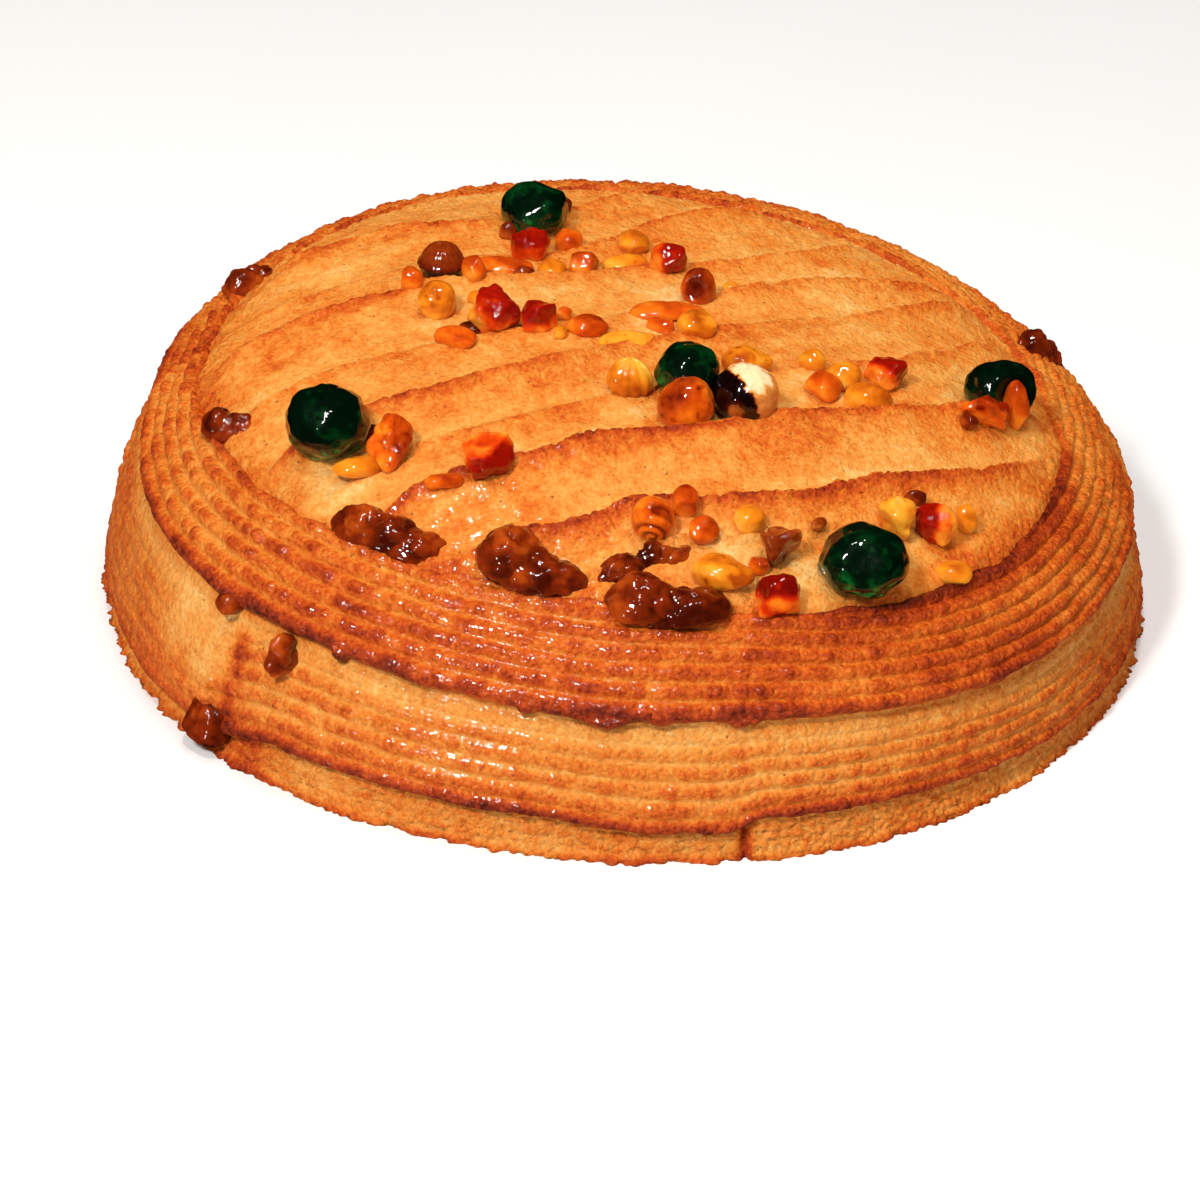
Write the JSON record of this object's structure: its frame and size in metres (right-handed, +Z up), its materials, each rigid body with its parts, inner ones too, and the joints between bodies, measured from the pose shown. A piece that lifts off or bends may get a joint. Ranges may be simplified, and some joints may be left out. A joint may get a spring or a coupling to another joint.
{
  "type": "round almond cake",
  "caption": "Round domed cake of almond paste, its side wound with ribbed ribbons, its smooth piped top set with glazed cherries, candied fruit and nuts.",
  "frame": {"origin": "middle of the flat underside", "axes": "+Z up, -Y towards the front, where the three caramelised lumps and the large front cherry are"},
  "size_m": [0.2865, 0.2845, 0.0934],
  "materials": {
    "cake": "baked almond paste, golden brown, with a thin sugar glaze",
    "cherry": "candied green cherry under wet syrup",
    "nut": "toasted nut under a glossy glaze",
    "fruit": "translucent candied fruit under a glossy glaze"
  },
  "bodies": {
    "root": {"cake": "cake", "cherry_front": "cherry", "cherry_left": "cherry", "cherry_back": "cherry", "cherry_right": "cherry", "cherry_centre": "cherry", "hazelnut_amber": "nut", "hazelnut_burnt": "nut", "hazelnut_pale": "nut", "hazelnut_far": "nut", "hazelnut_brown": "nut", "hazelnut_golden": "nut", "hazelnut_shell": "nut", "hazelnut_curled": "nut", "hazelnut_front": "nut", "almond_front": "nut", "almond_long": "nut", "almond_right": "nut", "praline_left": "nut", "praline_right": "nut", "candied_front": "fruit", "candied_right": "fruit", "candied_left": "fruit", "candied_orange": "fruit", "candied_dark": "fruit", "candied_back": "fruit", "candied_small": "fruit", "candied_far": "fruit"}
  },
  "joints": []
}
